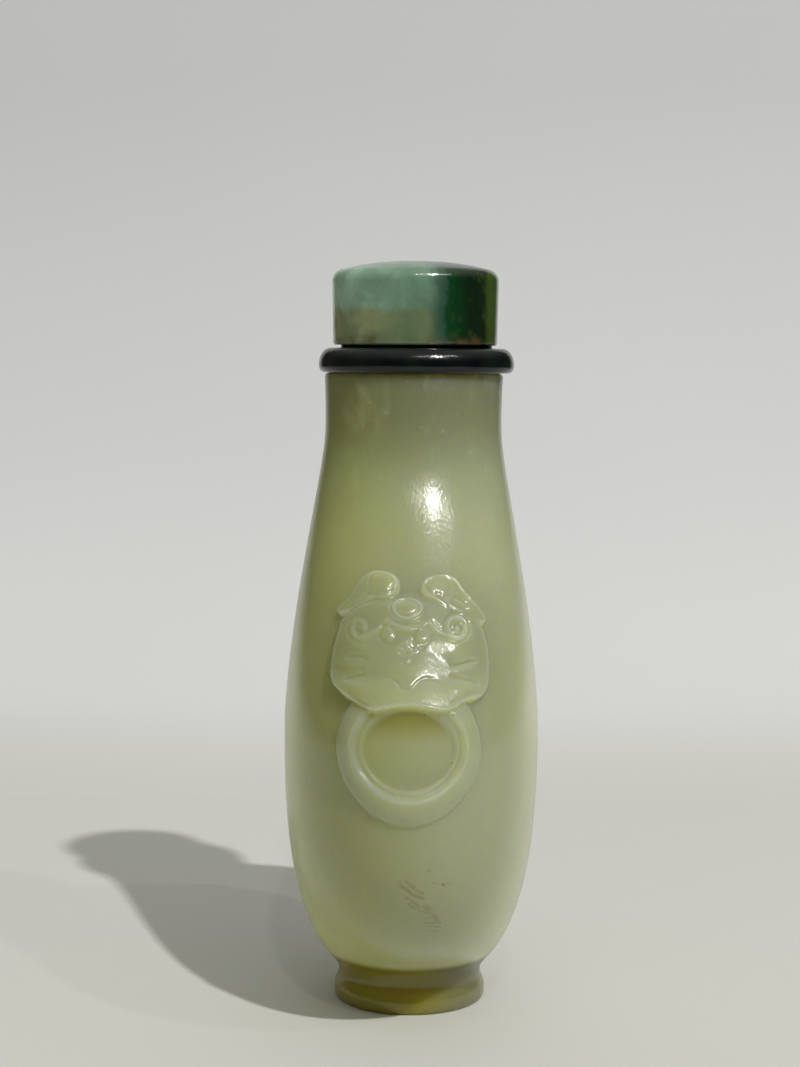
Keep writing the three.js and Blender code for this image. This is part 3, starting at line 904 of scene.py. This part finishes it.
def cap_material(settings):
    """Mint over drab green on one side, then a grey band, a bright vein, a dark vein and olive."""
    material, n, shader = stone_material("green_jadeite", 0.16, 0.00002, 0.00001, {
        "Subsurface Weight": 0.8,
        "Subsurface Radius": (0.8, 1.0, 0.8),
        "Subsurface Scale": 0.0025,
        "IOR": 1.6,
    })
    place = n.add("ShaderNodeTexCoord").outputs["Object"]
    wander = n.add("ShaderNodeTexNoise", {"Vector": place, "Scale": 260.0, "Detail": 4.0, "Roughness": 0.6})
    wander = n.vector("SCALE", n.vector("SUBTRACT", wander.outputs["Color"], (0.5, 0.5, 0.5)), 0.0022)
    drift = n.add("ShaderNodeSeparateXYZ", {"Vector": n.vector("ADD", place, wander)})
    across, up = drift.outputs["X"], drift.outputs["Z"]
    clouds = n.group("clouds", Size=0.0035)

    boundary = CAP_LOW.z + DRAB_TOP * MM
    drab = n.span(up, boundary - 0.0006, boundary + 0.0006, 1.0, 0.0)
    pale = n.mix(n.math("MULTIPLY", drab, 0.9), rgba(settings.mint), rgba(settings.drab))
    # painted light: the -X end of the pale part is made paler, standing in for light that reaches it from
    # the left
    outer = n.span(across, -0.008, 0.0, 0.9, 0.0)
    pale = n.mix(outer, pale, n.mix(drab, rgba(settings.lit_side_mint), rgba(settings.lit_side_drab)))
    pale = n.blend(clouds.outputs["Cloud"], 0.35, pale, settings.band)

    tint = pale
    steps = [(BAND_START, 2.0, settings.band), (EMERALD_START, 0.6, settings.emerald),
             (DARK_START, 2.0, settings.dark), (OLIVE_START, 0.7, settings.olive)]
    for start, softness, value in steps:
        edge = n.span(across, (start - softness / 2) * MM, (start + softness / 2) * MM)
        tint = n.mix(edge, tint, rgba(value))
    beyond = n.span(across, EMERALD_START * MM, (EMERALD_START + 0.5) * MM)
    mottle = n.math("MULTIPLY", n.math("MULTIPLY", clouds.outputs["Wisp"], beyond), 0.5)
    tint = n.mix(mottle, tint, rgba(settings.olive))

    rim = n.span(up, CAP_LOW.z + 0.0002, CAP_LOW.z + 0.0011, 1.0, 0.0)
    patchy = n.span(n.noise(place, 420.0, 3.0), 0.42, 0.62)
    tint = n.mix(n.math("MULTIPLY", n.math("MULTIPLY", rim, patchy), 0.7), tint, rgba(settings.residue))
    n.give(shader.inputs["Base Color"], tint)
    return material


# ---- pieces ------------------------------------------------------------------------------------


def settle(piece, material, node):
    """Dresses a finished piece, hangs it under the root body and hides the solid it stands for."""
    piece.data.materials.append(material)
    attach(piece, "root")
    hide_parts(node)


class SNUFF_OT_bottle(Operator):
    """Makes the hollow bottle with its carved mask and ring on both narrow sides"""

    bl_idname = "snuff.bottle"
    bl_label = "Make bottle"

    def execute(self, context):
        settings = context.scene.snuff_bottle
        rings, fields = bottle_rings(settings)
        points, faces = skin(rings)
        piece = smooth_mesh("bottle_carved", points, faces)
        for name, field in fields.items():
            attribute = piece.data.attributes.new(name, "FLOAT", "POINT")
            attribute.data.foreach_set("value", np.append(field, [0, 0]).astype(np.float32))
        settle(piece, celadon_material(settings), "bottle")
        return {"FINISHED"}


class SNUFF_OT_collar(Operator):
    """Makes the rounded dark collar that lies on the lip"""

    bl_idname = "snuff.collar"
    bl_label = "Make collar"

    def execute(self, context):
        low, high = COLLAR_LOW / MM, COLLAR_HIGH / MM
        radius = (high.x - low.x) / 2
        shift = ((high.x + low.x) / 2, 0)
        widest, top, hole, seat = low.z + 0.8, high.z - 0.3, BORE_RADIUS, 7.6
        profile = [(hole, low.z + 0.02), (radius - 1.4, low.z + 0.02)]
        profile += arc(radius - 0.5, widest, 0.5, widest - low.z - 0.05, -90, 0, 10)
        profile += arc(radius - 1.15, widest, 1.15, top - widest, 4, 90, 16)
        profile += [(seat + 0.1, top), (seat, top + 0.08), (seat, high.z), (hole, high.z)]
        piece = turned("collar_ring", profile, 192, shift, loop=True)
        settle(piece, collar_material(context.scene.snuff_collar), "collar")
        return {"FINISHED"}


class SNUFF_OT_cap(Operator):
    """Makes the low domed green cap"""

    bl_idname = "snuff.cap"
    bl_label = "Make cap"

    def execute(self, context):
        low, high = CAP_LOW / MM, CAP_HIGH / MM
        radius = (high.x - low.x) / 2
        shift = ((high.x + low.x) / 2, 0)
        draft, edge, dome_rise = 0.11, 1.3, 1.1
        shoulder = high.z - dome_rise - edge * 0.75
        crown_r, crown_z = radius - edge, high.z - dome_rise + edge * 0.25
        profile = [(1.0, low.z), (radius - draft - 0.5, low.z)]
        profile += arc(radius - draft - 0.25, low.z + 0.25, 0.25, 0.25, -90, 0, 5)
        profile += [(radius - draft * (1 - t), low.z + 0.25 + (shoulder - low.z - 0.25) * t)
                    for t in np.linspace(0.1, 0.95, 8)]
        profile += arc(crown_r, shoulder, edge, crown_z - shoulder, 0, 72, 12)
        profile += [(crown_r * t, high.z - (high.z - crown_z) * t ** 2.4)
                    for t in np.linspace(0.92, 0.06, 16)]
        piece = turned("cap_dome", profile, 192, shift)
        settle(piece, cap_material(context.scene.snuff_cap), "stopper_cap")
        return {"FINISHED"}


# ---- stage -------------------------------------------------------------------------------------


def stage_material(settings):
    material = bpy.data.materials.new("stage_paper")
    material.use_nodes = True
    n = Nodes(material.node_tree)
    shader = material.node_tree.nodes["Principled BSDF"]
    shader.inputs["Roughness"].default_value = 0.9
    shader.inputs["Specular IOR Level"].default_value = 0.2
    place = n.add("ShaderNodeTexCoord").outputs["Object"]
    height = n.add("ShaderNodeSeparateXYZ", {"Vector": place}).outputs["Z"]
    # painted light: the paper is made lighter where it rises from the floor and changes colour up the wall,
    # standing in for how the light falls along the sweep
    tint = n.mix(n.span(height, 0.0, 0.008), rgba(settings.floor), rgba(settings.rise))
    tint = n.mix(n.span(height, 0.008, 0.05), tint, rgba(settings.wall))
    tint = n.mix(n.span(height, 0.05, 0.3), tint, rgba(settings.wall_top))
    drift = n.math("MULTIPLY", n.span(n.noise(place, 9.0, 2.0), 0.3, 0.7), 0.05)
    n.give(shader.inputs["Base Color"], n.mix(drift, tint, rgba((0.4, 0.4, 0.38))))
    return material


FLOOR_REACH = 0.4
WALL_HALF_WIDTH = 0.12
WALL_TOP = 1.0
WALL_LIFT = 0.0002


def sheet(name, side, half):
    """A sheet of paper drawn out of a side line of (y, z) points in metres."""
    points = [(x / MM, y / MM, z / MM) for y, z in side for x in (-half, half)]
    faces = [(2 * i, 2 * i + 1, 2 * i + 3, 2 * i + 2) for i in range(len(side) - 1)]
    return smooth_mesh(name, points, faces)


def sweep(settings):
    """A wide floor, and a narrower sheet that rises behind the object in one curve."""
    start, radius = settings.sweep_start, settings.sweep_radius
    side = [(start - 0.004, 0.0), (start, WALL_LIFT)]
    side += [(start + radius * math.sin(t), WALL_LIFT + radius - radius * math.cos(t))
             for t in np.linspace(0.05, math.pi / 2, 24)]
    side += [(start + radius, WALL_TOP)]
    return [sheet("paper_floor", [(-FLOOR_REACH, 0.0), (FLOOR_REACH, 0.0)], FLOOR_REACH),
            sheet("paper_wall", side, WALL_HALF_WIDTH)]


LAMP_DISTANCE = 1.5
LAMP_TARGET = Vector((0, 0, 0.035))
SIDE_LAMP_TURN = 23.5


def add_lamp(name, azimuth, height, power, size):
    """A small square lamp that points at the object; azimuth runs from the camera's side towards +X."""
    data = bpy.data.lights.new(name, "AREA")
    data.size = size
    data.energy = power
    data.color = (1.0, 0.985, 0.95)
    lamp = bpy.data.objects.new(name, data)
    bpy.context.scene.collection.objects.link(lamp)
    level = math.cos(height)
    towards = Vector((level * math.sin(azimuth), -level * math.cos(azimuth), math.sin(height)))
    lamp.location = LAMP_TARGET + LAMP_DISTANCE * towards
    lamp.rotation_euler = (-towards).to_track_quat("-Z", "Y").to_euler()


def room_light(settings):
    """Even light from overhead and a little from the left, fading out towards the horizon."""
    world = bpy.data.worlds.new("soft_room")
    world.use_nodes = True
    n = Nodes(world.node_tree)
    background = world.node_tree.nodes["Background"]
    aim = n.add("ShaderNodeSeparateXYZ", {"Vector": n.add("ShaderNodeTexCoord").outputs["Generated"]})
    overhead = n.span(aim.outputs["Z"], 0.25, 0.95)
    aside = n.span(aim.outputs["X"], -0.95, -0.4, 1.0, 0.0)
    level = n.mix(aside, rgba(settings.horizon), rgba(settings.beside))
    light = n.mix(overhead, level, rgba(settings.sky))
    seen = n.add("ShaderNodeLightPath").outputs["Is Camera Ray"]
    n.give(background.inputs["Color"], n.mix(seen, light, rgba(settings.beyond)))
    background.inputs["Strength"].default_value = settings.fill
    return world


class SNUFF_OT_stage(Operator):
    """Makes the plain sweep, the lights and the camera"""

    bl_idname = "snuff.stage"
    bl_label = "Make stage"

    def execute(self, context):
        settings = context.scene.snuff_stage
        paper = stage_material(settings)
        for piece in sweep(settings):
            piece.data.materials.append(paper)

        aside = math.radians(SIDE_LAMP_TURN)
        lamps = [("key", 0, settings.key_power), ("left_lamp", -aside, settings.side_power),
                 ("right_lamp", aside, settings.side_power)]
        for name, turn, power in lamps:
            add_lamp(name, settings.key_azimuth + turn, settings.key_height, power, settings.key_size)

        context.scene.world = room_light(settings)
        context.scene.view_settings.view_transform = "Standard"

        data = bpy.data.cameras.new("camera")
        data.lens = settings.lens
        data.sensor_width = 36.0
        data.clip_start = 0.01
        camera = bpy.data.objects.new("camera", data)
        context.scene.collection.objects.link(camera)
        forward = Vector((0, math.cos(settings.pitch), -math.sin(settings.pitch)))
        level = Vector((1, 0, 0))
        upright = level.cross(forward)
        right = math.cos(settings.roll) * level + math.sin(settings.roll) * upright
        up = -math.sin(settings.roll) * level + math.cos(settings.roll) * upright
        turn = Matrix((right, up, -forward)).transposed()
        camera.matrix_world = Matrix.Translation(Vector(settings.eye)) @ turn.to_4x4()
        context.scene.camera = camera
        return {"FINISHED"}


# ---- add-on ------------------------------------------------------------------------------------


class SNUFF_PT_panel(Panel):
    """Lists the pieces and their settings"""

    bl_label = "Snuff bottle"
    bl_idname = "SNUFF_PT_panel"
    bl_space_type = "VIEW_3D"
    bl_region_type = "UI"
    bl_category = "Snuff bottle"

    def draw(self, context):
        for operator, attribute, group in PARTS:
            box = self.layout.box()
            box.operator(operator.bl_idname)
            settings = getattr(context.scene, attribute)
            for name in group.__annotations__:
                box.prop(settings, name)


PARTS = [
    (SNUFF_OT_bottle, "snuff_bottle", BottleSettings),
    (SNUFF_OT_collar, "snuff_collar", CollarSettings),
    (SNUFF_OT_cap, "snuff_cap", CapSettings),
    (SNUFF_OT_stage, "snuff_stage", StageSettings),
]


def register():
    for operator, attribute, group in PARTS:
        bpy.utils.register_class(group)
        setattr(bpy.types.Scene, attribute, PointerProperty(type=group))
        bpy.utils.register_class(operator)
    bpy.utils.register_class(SNUFF_PT_panel)


def unregister():
    bpy.utils.unregister_class(SNUFF_PT_panel)
    for operator, attribute, group in reversed(PARTS):
        bpy.utils.unregister_class(operator)
        delattr(bpy.types.Scene, attribute)
        bpy.utils.unregister_class(group)


def main():
    register()
    bpy.ops.snuff.bottle()
    bpy.ops.snuff.collar()
    bpy.ops.snuff.cap()
    bpy.ops.snuff.stage()


if __name__ == "__main__":
    main()
